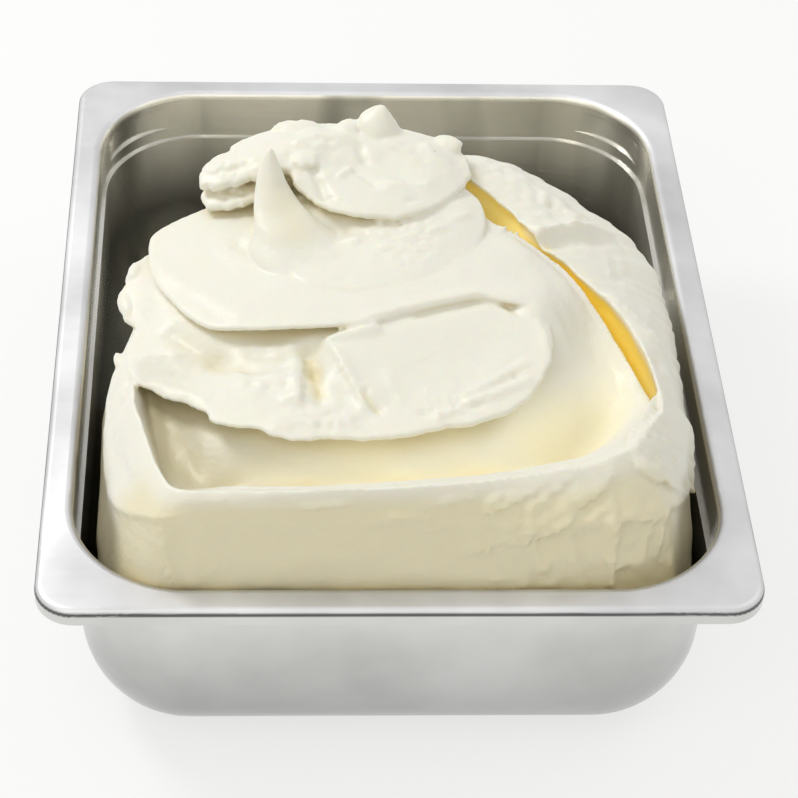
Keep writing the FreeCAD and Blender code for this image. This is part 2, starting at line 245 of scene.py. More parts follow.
# the block at the bottom: walls, crest, trough and the band on the right
block = {
    "centre": (0, -30),
    "segments": 600,
    "rings": 180,
    "floorGap": 0.05,
    "foldRadius": 40.8,    # pan's inside edge between wall and floor
    "panSide": 119.0,    # pan's inside below its step, half across and half along, kept clear
    "panEnd": 149.0,
    "panCorner": 41.2,
    "stepRise": 75,    # height of the step and how much wider the pan is above it
    "stepOut": 1.2,
    "cornerRadii": {"fl": 30, "fr": 30, "bl": 90, "br": 60},
    "soft": {"side": 0.6, "shoulder": 1.2, "crest": 0.8, "ribbonEdge": 0.8},    # how far lines are smoothed
    "wallSeed": 3,
    "topSeed": 5,
    # where rows lie: shares of the sides' height, then of the reach inside the ribbon's edge
    "sideSteps": (0, 0.03, 0.07, 0.13, 0.22, 0.36, 0.52, 0.68, 0.84, 1),
    "topSteps": (1, 0.985, 0.95, 0.9, 0.83, 0.75, 0.66, 0.56, 0.44, 0.3, 0.15, 0),
    # where the sides turn over: x, y, rise
    "shoulder": [
        (40, 56, 37), (57, 50, 35), (73, 39, 32), (88, 26, 29), (100, 17, 24), (108, 7, 19), (111, -10, 15),
        (112, -26, 14), (112, -46, 13), (112, -65, 12), (111, -83, 9), (110, -98, 6), (106.5, -116, 10),
        (96, -131, 18), (84, -138, 22), (68, -142.5, 25), (40, -144.5, 26), (0, -145.5, 27),
        (-60, -145.5, 27), (-80, -144.5, 29), (-89, -143, 28), (-97, -133.5, 20), (-104, -122, 12),
        (-107.5, -111, 8), (-109, -100, 7), (-110, -84, 9), (-110, -69, 13), (-108, -58, 18),
        (-104, -50, 21), (-102, -36, 14), (-100, -20, 6), (-98, 0, -4), (-92, 22, -14), (-80, 44, -20),
        (-55, 66, -16), (-20, 76, -4), (15, 66, 18),
    ],
    # top edge of the front wall and of the left ridge, then the inner lip of the band
    "crest": [
        (96, -98, 37), (91, -107, 38), (83, -118, 38), (68, -126, 38), (47, -132, 39), (27, -136, 39),
        (-1, -140, 40), (-36, -141, 39.5), (-61, -140.5, 38.5), (-78, -139, 37), (-83.8, -134.8, 35),
        (-89.7, -118.6, 33), (-97.8, -86.4, 30), (-99.5, -63.8, 28), (-101, -50, 25), (-95, -25, 22),
        (-91, 0, 20), (-80, 28, 22), (-55, 46, 30), (-22, 56, 38), (10, 50, 43), (26, 36, 47), (33, 27, 48),
        (42, 19, 46), (49, 11, 43.5), (55, -1, 42), (62, -9.5, 41), (69, -15.5, 39.5), (76, -26, 38.5),
        (83, -35, 37.5), (90, -47, 37), (94, -61, 37), (96, -74, 37), (97, -88, 36),
    ],
    # bevelled top of the crest: how far out and how far down it reaches, by bearing from centre
    "bevelOut": [
        (0, 1.5), (200, 0.8), (222, 0.8), (231, 3.4), (240, 3), (250, 1.6), (262, 0.6), (320, 0.8),
    ],
    "bevelDown": [
        (0, 0.5), (200, 0.5), (222, 0.6), (231, 3), (240, 2.4), (250, 1.4), (262, 0.7), (320, 0.6),
    ],
    # how far the slope from shoulder to crest swells, by bearing
    "bulge": [
        (0, 3.0), (40, 4), (80, 4), (100, 7), (135, 7), (170, 5), (200, 1.5), (222, 0.8), (232, 0),
        (300, 0), (320, 1), (335, 3),
    ],
    # slot beside the band: how far it is cut back under the lip, and its depth, by bearing from centre
    "slot": [
        (0, 2, 16), (18, 1, 9), (30, 1, 9), (45, 2, 15), (58, 2, 16), (66, 1, 10), (80, 0, 0), (290, 0, 0),
        (318, 0, 0), (328, 1, 6), (340, 2.5, 14), (350, 2.5, 17),
    ],
    # upper edge of the ribbon across the slot from the band
    "ribbonEdge": [
        (95.5, -88, 30), (92.8, -74, 28), (87.6, -53, 27), (80.8, -39, 31.5), (74, -28, 36.5),
        (67, -17, 38.5), (60.5, -10.8, 40), (52, -3, 42), (44, 0, 44), (38, 4, 46), (30, 12, 47),
        (18, 30, 48), (0, 44, 48), (-25, 44, 46), (-56, 34, 38), (-76, 18, 33), (-84, 0, 30),
        (-88, -25, 26), (-91, -50, 24), (-94.5, -66, 22), (-91, -90, 20), (-87.5, -110, 20),
        (-83, -127, 24), (-60, -134, 33), (-36, -135, 34), (-1, -133, 35), (27, -129, 34), (47, -125, 34),
        (66, -119, 33), (80, -110, 33), (90, -99, 33),
    ],
    # what lies under the upper layers
    "hidden": [
        (-62, -111, 24), (-76, -101, 22), (-83, -87, 20), (-90, -68, 18.5), (-80, -107, 17),
        (-86, -92, 16.5), (0, -100, 28), (-40, -100, 28), (-68, -84, 26), (40, -92, 28), (20, -80, 32),
        (-30, -80, 32), (-85, -48, 23), (0, -50, 36), (-40, -50, 34), (-70, -40, 28), (30, -50, 37),
        (0, -20, 40), (-40, -10, 38), (20, -10, 42), (0, 15, 46), (-60, 0, 35), (10, 30, 48), (-50, 20, 39),
        (-20, 30, 47), (45, -35, 41),
    ],
    # plates on the band and on the front wall: both ends, how far they reach back, height
    "topPlates": [
        (42, 0, 60, -5, 9, 2.4), (58, -5, 71, 5, 9, 2.85), (70, 4, 92, 14, 8, 2.4),
        (82, -33, 99, -47, 6, 1.8), (98, -46, 107, -62, 5, 2.25), (107, -61, 109, -78, 4, 1.8),
        (60, 20, 84, 12, 6, 1.35), (70, 34, 88, 22, 5, 1.2), (100, -40, 104, -24, 4, 1.2),
        (-96, -122, -103, -100, 5, -1.2), (-104, -104, -106, -80, 4, -1.2), (-98, -60, -104, -80, 3, -1.35),
    ],
    "frontPlates": [
        (22, 15, 37, 17, 6, 2.47), (36, 17, 49, 19.5, 9, 3.42), (49, 19.5, 62, 28.5, 9, 3.8),
        (61, 28.5, 78, 34.5, 8, 3.42), (28, 29, 52, 37, 2.5, 2.47), (44, 31, 66, 38, 2.2, 2.28),
        (24, 14.5, 34, 13.5, 1.6, 2.47), (12, 33.5, 26, 34.5, 2, 1.52), (78, -6, 76.5, 30, 9, 3.42),
        (70, 13, 80, 3, 3, 2.47), (-9, 3, 7, -1, 1.4, 1.52), (-38, 33, -20, 35, 1.5, 1.9),
        (88, 2, 93, 20, 3, 2.85), (94, 0, 98, 18, 3, 2.47), (50, 6, 66, 12, 5, 1.9),
        (-70, 8, -58, 10, 3, 0.95), (-30, 22, -16, 21, 2, 0.95), (5, 24, 15, 23, 2, 1.14),
        (-88, 30, -84, 4, 3, 1.71),
    ],
    # raised and sunken marks on the band: both ends x, y, x, y, half width, height
    "topMarks": [
        (46, 6, 60, -2, 2.5, 1.0), (60, -1, 74, 6, 3, 1.8), (74, 6, 92, 14, 3, 1.6),
        (62, -6, 90, 8, 3, -1.6), (92, 12, 98, 5, 1.8, -7), (84, -34, 99, -50, 4, 0.9),
        (99, -50, 107, -68, 4, 1.4), (107, -68, 106, -88, 4, 1.2), (88, -46, 98, -66, 3.5, -1.2),
        (98, -66, 101, -84, 3, -1.0), (52, 30, 70, 22, 5, 1.2), (70, 30, 92, 16, 4, -1.2),
        (-96, -118, -100, -96, 2.5, 0.7), (-102, -100, -104, -76, 2.5, -0.7),
        (-97, -62, -103, -84, 1.6, -1.0),
    ],
    # rough patches on top: middle x, y, half width, size of the bumps, height
    "topRough": [
        (70, 20, 26, 10, 0.6), (100, -10, 24, 9, 0.5), (104, -70, 22, 8, 0.4), (-103, -80, 26, 14, 0.3),
        (94, -100, 16, 5, 0.6), (45, 40, 18, 8, 0.5),
    ],
    # raised and sunken marks on the front wall: x, rise, x, rise, half width, height
    "frontMarks": [
        (-72, 24, -76, 2, 5, 1.0), (-86, 22, -88, -6, 4, 1.2), (-10, 28, 14, 34, 3, 0.9),
        (30, 33, 33.5, 35, 1.3, 1.2), (58, 4, 80, 24, 5, 0.8), (40, 30, 62, 33, 2.2, 0.8),
        (62, 18, 66, 8, 2, -0.8), (-50, 12, -10, 16, 6, 0.8), (0, 8, 40, 2, 6, 0.8),
        (46, 18, 50, 6, 1.6, 1.4), (72, 10, 88, 2, 4, 1.8), (-5, 31, 8, 29, 1.4, 1.4),
        (66, 26, 74, 29, 1.5, 1.6), (30, 6, 44, -2, 1.6, 1.2), (50, 28, 82, 38, 1.6, 0.8),
        (-90, 29, -82, -1, 1.4, 0.9), (-60, 34, -20, 35, 2, 0.7), (34, 20, 46, 24, 1.6, 1.5),
    ],
}


def insidePan(x, y, z):
    # moves points that would be in the pan's wall or rounded floor edge back inside
    up = np.clip(block["foldRadius"] - z, 0, block["foldRadius"])
    back = block["foldRadius"] - np.sqrt(block["foldRadius"] ** 2 - up ** 2)
    wider = block["stepOut"] * blend((z - block["stepRise"]) / 4)
    corner = np.maximum(block["panCorner"] - back, 0.5) + wider
    keepX = block["panSide"] + wider - back - corner
    keepY = block["panEnd"] + wider - back - corner
    overX = np.maximum(np.abs(x) - keepX, 0)
    overY = np.maximum(np.abs(y) - keepY, 0)
    over = np.maximum(np.hypot(overX, overY), 1e-6)
    trim = np.minimum(1, corner / over)
    newX = np.where(np.abs(x) > keepX, np.sign(x) * (keepX + overX * trim), x)
    newY = np.where(np.abs(y) > keepY, np.sign(y) * (keepY + overY * trim), y)
    return newX, newY


def blockSide(bearing):
    # reach of the block's upright sides: a rectangle with four different round corners
    low, high = moundLow / mm, moundHigh / mm
    radii = block["cornerRadii"]
    outline = []
    corners = ((high.x, high.y, "br"), (low.x, high.y, "bl"), (low.x, low.y, "fl"), (high.x, low.y, "fr"))
    for step, (x, y, key) in enumerate(corners):
        r = radii[key]
        cx, cy = x - math.copysign(r, x), y - math.copysign(r, y)
        for a in range(0, 91, 6):
            angle = math.radians(step * 90 + a)
            outline.append((cx + r * math.cos(angle), cy + r * math.sin(angle)))
    return outlineAbout(outline, block["centre"], block["soft"]["side"])(bearing)[0]


def blockLine(name, bearing):
    # reach and rise of one of the block's lines
    return outlineAbout(block[name], block["centre"], block["soft"][name])(bearing)


def slotDepth(bearing):
    return byBearing([row[::2] for row in block["slot"]], bearing)


def alongRows(rows, share, column):
    # smooth line down one column of the rows, at a share of their number
    count = len(rows)
    place = np.clip(share, 0, 1) * (count - 1)
    k = np.clip(place.astype(int), 0, count - 2)
    t = place - k
    p0, p1 = rows[np.maximum(k - 1, 0), column], rows[k, column]
    p2, p3 = rows[k + 1, column], rows[np.minimum(k + 2, count - 1), column]
    m1, m2 = (p2 - p0) / 2, (p3 - p1) / 2
    h = t * t * (3 - 2 * t)
    return p1 + (p2 - p1) * h + m1 * t * (1 - t) ** 2 - m2 * t * t * (1 - t)


def plateauHeights():
    # heights of the plateau, the same for the swoosh and for the block beside it
    right = [point for point in sweptPoints if point[0] > 36]
    return throughHeights(right + swoosh["top"] + [point for point in swoosh["edge"] if point[0] < 40])


def blockRows(bearing, floor):
    # reach and rise at every bearing, row by row from the pole below to the pole on top
    cx, cy = block["centre"]
    cos, sin = np.cos(np.radians(bearing)), np.sin(np.radians(bearing))
    side = blockSide(bearing)
    shoulder, shoulderRise = blockLine("shoulder", bearing)
    crest, crestRise = blockLine("crest", bearing)
    edge, edgeRise = blockLine("ribbonEdge", bearing)
    rough = wander(bearing, 3.1, 5)
    uneven = wander(bearing, 8.8, 17)
    shoulder = shoulder + rough * 0.8 * (np.abs(sin) < 0.85) + uneven * 1.1 * (cos > 0.5)
    crest = crest + rough * 0.5
    crestRise = crestRise + rough * 0.5

    # floor and upright sides
    top = rimTop + shoulderRise - 5
    rows = [(0 * side, floor - rimTop), (side * 0.45, floor - rimTop), (side * 0.75, floor - rimTop)]
    for t in block["sideSteps"]:
        z = floor + (top - floor) * t
        rows.append((np.minimum(side, shoulder + 0.3 + (1 - t) * 30), z - rimTop))
    rows.append((shoulder, shoulderRise))

    # from the shoulder up to the bevelled crest
    bulge = byBearing(block["bulge"], bearing)
    outer = crest + byBearing(block["bevelOut"], bearing)
    outerRise = crestRise - byBearing(block["bevelDown"], bearing)
    for t in (0.2, 0.4, 0.6, 0.8):
        lift = 4 * t * (1 - t) * bulge
        rise = shoulderRise + (outerRise - shoulderRise) * t + lift
        rows.append((shoulder + (outer - shoulder) * t, rise))
    rows.append((outer, outerRise))
    rows.append((crest, crestRise))

    # down into the slot beside the band, or straight across where the slot is shut
    undercut = byBearing([row[:2] for row in block["slot"]], bearing)
    depth = slotDepth(bearing)
    opened = blend(depth / 4)
    shut = 1 - opened
    slotRise = np.minimum(edgeRise, crestRise) - depth
    rows.append((crest - 0.9 * shut - 0.4 * opened, crestRise - 1.4))
    rows.append(((crest * 0.6 + edge * 0.4) * shut + (crest + undercut) * opened,
                 (crestRise * 0.6 + edgeRise * 0.4) * shut + (crestRise + slotRise) / 2 * opened))
    rows.append(((crest + edge) / 2 + 0.6 * opened, (crestRise + edgeRise) / 2 * shut + slotRise * opened))
    rows.append((edge + 0.4 + 0.4 * opened, edgeRise * shut + (edgeRise + slotRise) / 2 * opened))

    # ribbon, trough and what lies under the layers
    lowAt = throughHeights(block["hidden"] + sweptPoints)
    sweptAt = plateauHeights()
    for t in block["topSteps"]:
        reach = edge * t
        x, y = cx + reach * cos, cy + reach * sin
        swept = blend((x - 36) / 16)
        rise = sweptAt(x, y) * swept + lowAt(x, y) * (1 - swept)
        near = blend((t - 0.9) / 0.1)
        rows.append((reach, edgeRise * near + rise * (1 - near)))
    return [np.array([np.ones_like(side) * row[k] for row in rows]) for k in (0, 1)]


def blockRelief(x, y, rise, share):
    # plates, marks and rough patches, on the front wall towards y and on top upwards
    wall = blend((-y - 118) / 16) * blend((rise + 30) / 15) * blend((40 - rise) / 6) * (share < 0.62)
    y = y - (blobs(x, rise, block["frontMarks"]) + ledges(x, rise, block["frontPlates"])) * wall
    smeared = 0.15 + 0.85 * blend((x - 10) / 50)    # less on the left
    y = y - roughField(x, rise * 1.6, 11, block["wallSeed"]) * wall * smeared * 0.35
    onTop = blend((share - 0.39) / 0.05)
    rise = rise + (blobs(x, y, block["topMarks"]) + ledges(x, y, block["topPlates"])) * onTop
    return y, roughen(rise, x, y, block["topRough"], block["topSeed"], onTop)


def makeBlock():
    cx, cy = block["centre"]
    floor = moundLow.z / mm + block["floorGap"]

    def place(bearings, share):
        bearing, back = np.unique(bearings, return_inverse=True)
        reaches, rises = blockRows(bearing, floor)
        reach = alongRows(reaches, share, back)
        angle = np.radians(bearing)
        x, y = cx + reach * np.cos(angle)[back], cy + reach * np.sin(angle)[back]
        y, rise = blockRelief(x, y, alongRows(rises, share, back), share)
        z = np.maximum(rimTop + rise, floor)
        px, py = insidePan(x, y, z)
        low = z < rimTop + 1
        return np.column_stack((np.where(low, px, x), np.where(low, py, y), z))

    return wrappedGrid("block", block["segments"], block["rings"], place)


gridSizes = {"layer": (480, 120), "horn": (96, 72), "lump": (48, 24)}    # points around and up

# layers that lap over the block. deep: rise of the foot, soft: how far the outline is smoothed,
# ragged, thick and tuck: how torn the edge is, its thickness and its overhang, by bearing,
# edge and top: points x, y, rise, marks and plates: both ends x, y, x, y, width, height,
# rough: middle x, y, half width, size of the bumps, height
tongue = {
    "name": "tongue", "centre": (-20, -30), "deep": 12, "seed": 1.7, "soft": 0.8,
    "ragged": [(0, 0.3), (60, 1), (180, 1.6), (290, 1.2), (315, 0.8), (340, 0.4)], "waves": 9,
    "rough": [
        (-45, -80, 22, 12, 0.45), (-85, -65, 14, 9, 0.35), (20, -98, 18, 6, 0.3), (-28, -104, 20, 8, 0.4),
    ],
    "thick": [
        (0, 2.5), (60, 4), (150, 5), (190, 2.4), (215, 2.2), (270, 2.6), (310, 3), (335, 3), (350, 2.5),
    ],
    "tuck": [(0, 1), (60, 3), (150, 6), (190, 1.5), (210, 3.5), (240, 3.5), (285, 2.4), (315, 2), (340, 1)],
    "edge": [
        (-101.5, -64, 27.5), (-99.5, -71, 28), (-94, -77, 30), (-88, -82, 31), (-81, -88, 33),
        (-72, -95, 35), (-70, -101, 36), (-60, -105, 37), (-52, -107, 38), (-47.5, -110.5, 38),
        (-40, -113, 38), (-28, -113, 38), (0, -112, 38), (18, -107, 39), (28, -106, 40), (38, -102, 40.5),
        (46, -96, 41.5), (53, -87, 43), (57, -76, 44), (59, -66, 44), (58, -55, 43.5), (54, -42, 42),
        (46, -25, 41), (34, -8, 40), (20, 5, 38), (-10, 15, 34), (-50, 12, 32), (-80, 8, 31), (-92, 0, 33),
        (-98, -5, 33), (-102, -12, 31), (-106, -24, 28), (-105, -34, 26), (-99.5, -39, 26), (-100, -47, 27),
        (-101.5, -56, 27),
    ],
    "top": [
        (-60, -80, 37), (-40, -88, 38.5), (-20, -92, 38), (0, -95, 39), (12, -96, 40), (28, -91, 41.5),
        (38, -85, 42.5), (46, -76, 43.5), (50, -64, 44.5), (49, -52, 45.5), (44, -43, 46), (32, -44, 46.5),
        (17, -50, 46.5), (1, -60, 46), (-14, -67, 44.5), (-17, -81, 41), (10, -75, 43), (25, -65, 44.5),
        (38, -58, 45), (30, -76, 42.5), (-75, -64, 31.5), (-62, -70, 34), (-50, -71, 37), (-35, -72, 40),
        (-88, -50, 31), (-94, -60, 29), (-91, -30, 34), (-97, -22, 32), (-82, -48, 34), (-70, -59, 36),
        (0, -30, 42), (-50, -30, 36),
    ],
    "plates": [
        (-36, -96, -35, -68, 6, 1.3), (-26, -69, -14, -97, 8, 1.8), (-16, -88, -8, -98, 3, 1.4),
        (10, -104, 48, -86, 2.4, 0.9), (22, -99, 48, -80, 2.4, 0.8), (8, -101, 30, -98, 2, 0.9),
        (30, -88, 46, -72, 3, 0.5), (-62, -78, -46, -84, 4, 0.9), (-90, -80, -76, -88, 3, 0.8),
        (-54, -84, -40, -96, 3, 0.9), (-74, -66, -60, -72, 4, 0.6), (-26, -66, -6, -62, 3, 1.1),
        (2, -78, 14, -74, 4, 0.4), (-46, -104, -26, -101, 3, 0.9),
    ],
    # hollows and folds: both ends x, y, x, y, half width, height
    "marks": [
        (-33, -67, -31, -78, 4.5, -3.4), (-31, -78, -29, -94, 3, -2.0), (-40, -74, -38, -92, 4, 1.8),
        (-24, -72, -14, -96, 4, 1.4), (8, -55, 34, -46, 3, -1.0), (36, -44, 50, -54, 2.6, -2.2),
        (-13, -91, -8, -99, 2.2, -2.2), (-4, -84, 0, -94, 3.5, 0.8), (14, -103, 47, -88, 2.2, 1.6),
        (20, -98, 44, -84, 1.6, -1.6), (24, -95, 47, -78, 2, 0.9), (8, -101, 30, -98, 2, -1.2),
        (-26, -66, -8, -63, 2.6, 2.2), (-60, -76, -44, -84, 5, 1.2), (-90, -76, -72, -90, 3, 1.0),
        (-45, -106, -20, -104, 4, 1.3), (52, -52, 57, -70, 3, 1.2), (-84, -50, -68, -66, 5, -2.4),
        (-68, -66, -54, -78, 4.5, -2.0), (-54, -66, -42, -70, 3, -1.2), (-42, -70, -30, -66, 3, -2),
    ],
}
swoosh = {
    "name": "swoosh", "centre": (-20, -10), "deep": 30, "seed": 4.2, "soft": 2.0,
    "ragged": [(0, 0.1), (180, 0.4), (260, 0.6), (330, 0.2)],
    "thick": [(0, 1.5), (150, 2.5), (190, 3.5), (220, 3), (245, 2.6), (300, 2.4), (325, 2), (340, 1.2)],
    "tuck": [(0, 1), (150, 1.5), (190, 1.5), (225, 2), (270, 2.5), (310, 2.5), (330, 2), (345, 1)],
    "edge": [
        (-95, 2, 38), (-95, -10, 38), (-93, -22, 38), (-90, -29, 38), (-82, -44, 40), (-74, -53, 41),
        (-70, -57, 42), (-53, -61, 45), (-32, -62, 47), (-10, -61, 48), (2, -56, 48.5), (14, -52, 48.5),
        (33, -46, 48.5), (42, -45, 48), (48, -48, 47), (51, -54, 46), (56, -54, 45.2), (58, -47, 44.5),
        (60, -35, 43.5), (58, -24, 43), (52, -12, 44), (44, -2, 43.5), (36, 4, 45), (26, 14, 46),
        (6, 24, 44), (-20, 28, 42), (-52, 24, 41), (-74, 14, 42), (-90, 7, 39),
    ],
    "top": [
        (-70, -20, 43), (-50, -40, 46), (-20, -45, 48), (10, -38, 49), (33, -34, 48.5), (48, -34, 46.5),
        (-70, 0, 43.5), (-40, -15, 47.5), (0, -15, 48.5), (30, -15, 48), (-20, 10, 48), (15, 5, 48),
        (-45, 15, 46),
    ],
    "marks": [
        (-60, -12, -50, -24, 4, -1.2), (-70, -18, -52, -34, 7, -0.8), (-90, -20, -60, -52, 5, 0.8),
        (-10, -58, 30, -45, 4, 0.9), (30, -45, 46, -46, 3, 0.6),
    ],
}
tier = {
    "name": "tier", "centre": (-6, -5), "deep": 38, "ragged": [(0, 0.3)], "seed": 9.1, "soft": 1.0,
    "rough": [(5, -15, 22, 6, 0.35)],
    "thick": [(0, 3), (60, 5), (180, 3), (240, 2.5), (300, 2.5)],
    "tuck": [(0, 2), (60, 3), (180, 2), (240, 1.5), (300, 1.5)],
    "edge": [
        (36, 12, 49), (37.5, 3, 48.5), (37, -6, 48), (32, -18, 48), (22, -30, 48.5), (4, -40, 49),
        (-16, -44, 49), (-32, -40, 48), (-44, -28, 48), (-52, -14, 48), (-54, 0, 48), (-46, 14, 49),
        (-20, 24, 50), (10, 28, 51), (28, 22, 50),
    ],
    "top": [
        (-9, -9, 52), (3, -9, 52.5), (18, -3, 52.5), (28, 5, 52), (-24, -8, 50.5), (-10, -28, 50),
        (10, -25, 51), (25, -12, 50.5), (-35, -25, 49.8), (-42, -12, 53), (-50, -6, 51), (-32, -8, 52.5),
        (-44, -22, 50), (-5, 5, 54), (-30, 5, 53), (-22, -16, 49.5),
    ],
    "marks": [
        (-30, -12, -20, -9, 5, -3.2), (-18, -14, -14, -15, 2.5, 1.1), (-8, -12, -5, -13, 2, 0.8),
        (4, -16, 8, -15, 2.2, 1.1), (14, -12, 20, -9, 2.2, 1.0), (-4, -20, 2, -21, 2, 0.7),
        (10, -9, 16, -10, 2, 0.7), (24, -4, 30, 0, 2, 0.8), (-30, -22, -24, -24, 2, 0.7),
        (-44, -25, -22, -36, 1.2, 0.6),
    ],
}
cap = {
    "name": "cap", "centre": (-22, 20), "deep": 42, "seed": 7.7, "soft": 0.5,
    "ragged": [(0, 0.9), (60, 1.2), (180, 1.4), (230, 0.5), (300, 0.8)], "waves": 8,
    "rough": [(-30, 28, 16, 9, 0.6), (15, 28, 14, 9, 0.4)],
    "plates": [
        (-28, 4, -14, -2, 4, 0.8), (-6, 4, 8, 3, 3, 0.5), (-34, 18, -26, 8, 4, 0.8),
        (10, 20, 18, 12, 4, 0.5), (-44, 22, -34, 18, 3, 0.8), (-4, 30, 10, 26, 5, 0.9),
    ],
    "thick": [(0, 4), (180, 4), (270, 3), (320, 3.5)],
    "tuck": [(0, 5), (180, 6), (230, 3), (270, 5), (320, 6)],
    "edge": [
        (-66, 24, 60), (-62, 19, 61), (-54, 16, 62), (-46, 14, 63), (-40, 13, 62), (-37, 6, 60),
        (-30, 0, 57), (-24, -4, 57), (-18, -6.5, 57), (-9, -8.5, 57), (3, -8, 56), (15, -2, 55.5),
        (23, 6, 54.5), (30, 15, 54), (33, 22, 54), (32, 32, 54), (24, 41, 56), (8, 45, 59), (-18, 46, 61),
        (-38, 45, 61), (-52, 40, 60), (-62, 33, 60),
    ],
    "top": [
        (-54, 24, 63), (-45, 28, 65), (-30, 20, 63), (-10, 20, 60.5), (8, 18, 59.5), (20, 16, 58),
        (-28, 8, 60), (-20, 35, 64), (0, 36, 63), (-5, 5, 59), (8, 4, 58), (20, 30, 59), (-40, 36, 64),
    ],
    "marks": [
        (-30, 14, -26, 2, 2.5, -2.2), (-36, 26, -28, 24, 4, 2.2), (-14, 16, -6, 8, 2, -1.2),
        (-4, 22, 8, 10, 5, -1.2), (0, 8, 14, 10, 3, 1.0), (-12, 28, -10, 22, 3, -2.0),
        (14, 30, 22, 24, 4, 1.2), (-20, 12, -16, 16, 1.6, 1.2), (6, 0, 10, 2, 1.6, -0.9),
        (-30, 30, -18, 34, 4, 1.6),
    ],
}
flapUpper = {
    "name": "flapUpper", "centre": (-55, 22), "deep": 48, "ragged": [(0, 1.3)], "seed": 2.4, "soft": 0.4,
    "rough": [(-60, 20, 12, 6, 0.6)],
    "thick": [(0, 5)], "tuck": [(0, 5)],
    "edge": [
        (-76, 19, 56), (-75, 14, 55), (-69, 11, 56), (-60, 11, 58.5), (-50, 12, 61.5), (-38, 14, 63),
        (-34, 28, 63), (-44, 36, 62), (-58, 33, 60), (-70, 27, 58),
    ],
    "top": [(-68, 18, 58.5), (-58, 22, 61.5), (-46, 24, 64)],
    "marks": [(-66, 15, -50, 15, 2.2, 0.8)],
    "plates": [(-74, 17, -50, 18, 4, 1.4), (-70, 24, -48, 27, 4, 1.0)],
}
flapLower = {
    "name": "flapLower", "centre": (-54, 20), "deep": 40, "ragged": [(0, 1.2)], "seed": 5.9, "soft": 0.4,
    "rough": [(-62, 14, 12, 6, 0.5)],
    "thick": [(0, 4)], "tuck": [(0, 4)],
    "edge": [
        (-75, 13, 49), (-73, 8, 48), (-65, 6, 49.5), (-56, 7, 52), (-46, 8, 55), (-36, 16, 56),
        (-42, 32, 54), (-62, 30, 51), (-73, 20, 50),
    ],
    "top": [(-66, 12, 51), (-54, 14, 54)],
    "marks": [],
}
corner = {
    "name": "corner", "centre": (93, -101), "deep": -6, "seed": 3.3, "soft": 0.35, "waves": 4,
    "ragged": [(0, 1.4), (90, 0.5), (180, 0.4), (240, 0.8), (300, 1.8)],
    "thick": [(0, 4), (90, 2), (180, 2), (250, 3.5), (320, 4)],
    "tuck": [(0, 2.5), (90, 1), (180, 1), (250, 3), (320, 4)],
    "edge": [
        (112, -84, 16), (112.5, -92, 13), (111.5, -101, 9), (109, -110, 8), (105.5, -116, 10),
        (100, -121.5, 20), (94, -124.5, 28), (90, -125.5, 31), (85, -125, 34.5), (80, -121, 37),
        (82, -111, 38.5), (88, -101, 38.5), (93, -91, 37.5), (98, -82, 33), (104, -78, 26),
    ],
    "top": [(97, -108, 33), (103, -98, 26), (92, -113, 36), (99, -92, 32), (105, -107, 21)],
    "marks": [(84, -118, 98, -96, 2.2, 1.6), (90, -120, 104, -104, 2, -1.2), (96, -112, 106, -98, 2, 1.1)],
    "rough": [(98, -108, 16, 5, 0.8)],
}


def makeLayer(values, heightAt=None):
    cx, cy = values["centre"]
    if heightAt is None:
        heightAt = throughHeights(values["edge"] + values["top"])
    outline = outlineAbout(values["edge"], values["centre"], values["soft"])

    def place(bearing, share):
        torn = byBearing(values["ragged"], bearing)
        reach = outline(bearing)[0] + wander(bearing, values["seed"], values.get("waves", 6)) * torn
        cos, sin = np.cos(np.radians(bearing)), np.sin(np.radians(bearing))
        thick, tuck = byBearing(values["thick"], bearing), byBearing(values["tuck"], bearing)
        lip = thick / 2
        edgeRise = heightAt(cx + (reach - lip) * cos, cy + (reach - lip) * sin)
        # four stretches from the pole below to the pole on top
        under = np.clip(share / 0.1, 0, 1)
        foot = np.clip((share - 0.1) / 0.15, 0, 1)
        lapping = np.clip((share - 0.25) / 0.2, 0, 1)
        top = np.clip((share - 0.45) / 0.55, 0, 1)
        inFoot = reach - tuck - lip
        r = inFoot * (0.7 * under + 0.3 * foot)
        z = values["deep"] + (edgeRise - thick - values["deep"]) * foot
        turn = np.pi * (lapping - 0.5)
        inLap = (share > 0.25) & (share <= 0.45)
        r = np.where(inLap, inFoot + tuck * np.minimum(lapping * 4, 1) + lip * np.cos(turn), r)
        z = np.where(inLap, edgeRise - lip + lip * np.sin(turn), z)
        onTop = share > 0.45
        r = np.where(onTop, (reach - lip) * (1 - top), r)
        x, y = cx + r * cos, cy + r * sin
        topZ = heightAt(x, y) + blobs(x, y, values["marks"]) + ledges(x, y, values.get("plates", []))
        topZ = roughen(topZ, x, y, values.get("rough", []), int(values["seed"] * 10))
        z = np.where(onTop, topZ, z)
        return np.column_stack((x, y, z + rimTop))

    return wrappedGrid(values["name"], *gridSizes["layer"], place)


peak = {
    # from the foot to the tip: x, y, rise of the middle, half width across, half width along
    "line": [
        (-35, -15, 38, 22, 21), (-35.5, -15, 45.8, 19.5, 19.5), (-37.5, -13.5, 48.6, 16.5, 16.5),
        (-40, -10.5, 51, 13.4, 13.2), (-43, -6, 54.5, 10.8, 10.4), (-45.5, 0.5, 57.5, 8.4, 8),
        (-47, 5, 61.5, 6.2, 6.3), (-47.5, 7.8, 65.5, 4.7, 5), (-47.7, 9.9, 69.5, 3.1, 3.4),
        (-47.6, 11, 73, 1.6, 1.8), (-47.6, 11.3, 74.8, 0, 0),
    ],
}
knob = {
    "line": [
        (-4, 38, 54, 14, 10), (-4, 40, 60, 10, 9), (-4.5, 41, 64, 8, 8), (-5, 42, 67, 6.5, 6),
        (-4, 43, 69.5, 3.6, 3.6), (-3, 43.5, 71, 1.4, 1.4), (-3, 43.7, 71.6, 0, 0),
    ],
}
